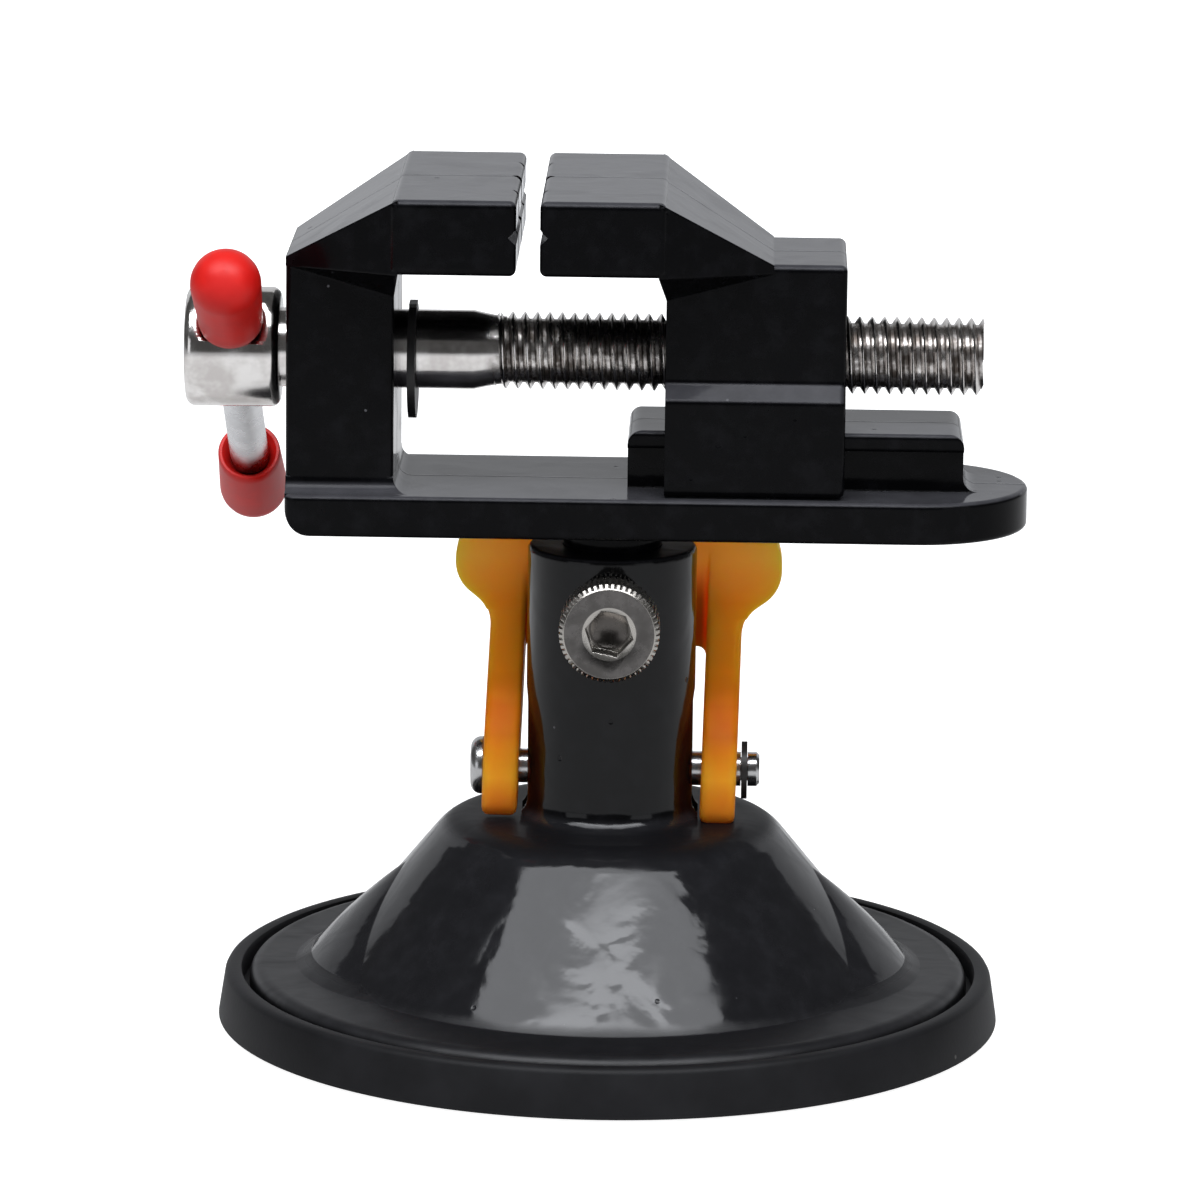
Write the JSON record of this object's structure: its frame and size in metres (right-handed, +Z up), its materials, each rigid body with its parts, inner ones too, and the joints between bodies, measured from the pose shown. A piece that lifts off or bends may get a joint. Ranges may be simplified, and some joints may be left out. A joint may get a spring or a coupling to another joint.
{
  "type": "suction base vise",
  "caption": "Small swivel bench vise on a suction cup base, with a cam lever that draws the cup up, a screw driven sliding jaw, a sliding bar handle and a lock screw.",
  "frame": {"origin": "centre of the suction cup's sealing rim, on the surface the vise stands on", "axes": "+X along the lead screw from its bar handle towards the rail end, +Z up, the lock screw faces -Y and the cam lever stands on the +Y side"},
  "size_m": [0.0851, 0.0798, 0.0868],
  "materials": {
    "black_paint": "gloss black paint on die castings",
    "cup_rubber": "matt black rubber",
    "lever_plastic": "slightly translucent orange plastic",
    "screw_steel": "bright plated steel",
    "bar_steel": "satin steel",
    "pin_steel": "plain turned steel",
    "lock_steel": "nickel plated steel",
    "clip_steel": "black oxide spring steel",
    "cap_plastic": "soft red plastic"
  },
  "bodies": {
    "base": {"base_casting": "black_paint", "suction_cup": "cup_rubber"},
    "head": {"vise_body": "black_paint"},
    "screw": {"lead_screw": "screw_steel", "screw_clip": "clip_steel"},
    "jaw": {"moving_jaw": "black_paint"},
    "bar": {"tommy_bar": "bar_steel", "upper_bar_cap": "cap_plastic", "lower_bar_cap": "cap_plastic"},
    "draw": {"pull_stud": "pin_steel", "lever_pin": "pin_steel", "lever_pin_clip": "clip_steel"},
    "lever": {"clamp_lever": "lever_plastic"},
    "lock": {"lock_screw": "lock_steel"}
  },
  "joints": [
    {"name": "head_swivel", "type": "hinge", "parent": "base", "child": "head", "pos_m": [0, 0, 0.0428], "axis": [0, 0, 1], "continuous": true},
    {"name": "screw_spin", "type": "hinge", "parent": "head", "child": "screw", "pos_m": [-0.03845, 0, 0.069], "axis": [1, 0, 0], "range_deg": [-5761, 664]},
    {"name": "jaw_slide", "type": "slide", "parent": "head", "child": "jaw", "axis": [1, 0, 0], "range_m": [-0.0023, 0.02]},
    {"name": "bar_slide", "type": "slide", "parent": "screw", "child": "bar", "axis": [0, -0.8192, 0.5736], "range_m": [0, 0.02]},
    {"name": "cup_lift", "type": "slide", "parent": "base", "child": "draw", "axis": [0, 0, 1], "range_m": [-0.0017, 0], "deforming": ["suction_cup"]},
    {"name": "lever_flip", "type": "hinge", "parent": "draw", "child": "lever", "pos_m": [0, 0, 0.0259], "axis": [-1, 0, 0], "range_deg": [0, 50]},
    {"name": "lock_screw_turn", "type": "hinge", "parent": "base", "child": "lock", "pos_m": [0, 0, 0.0428], "axis": [0, -1, 0], "range_deg": [0, 360]}
  ],
  "couplings": [
    {"joint": "screw_spin", "follows": "jaw_slide", "rad_per_m": -5026.5},
    {"joint": "cup_lift", "follows": "lever_flip", "m_per_rad": -0.0019481}
  ]
}
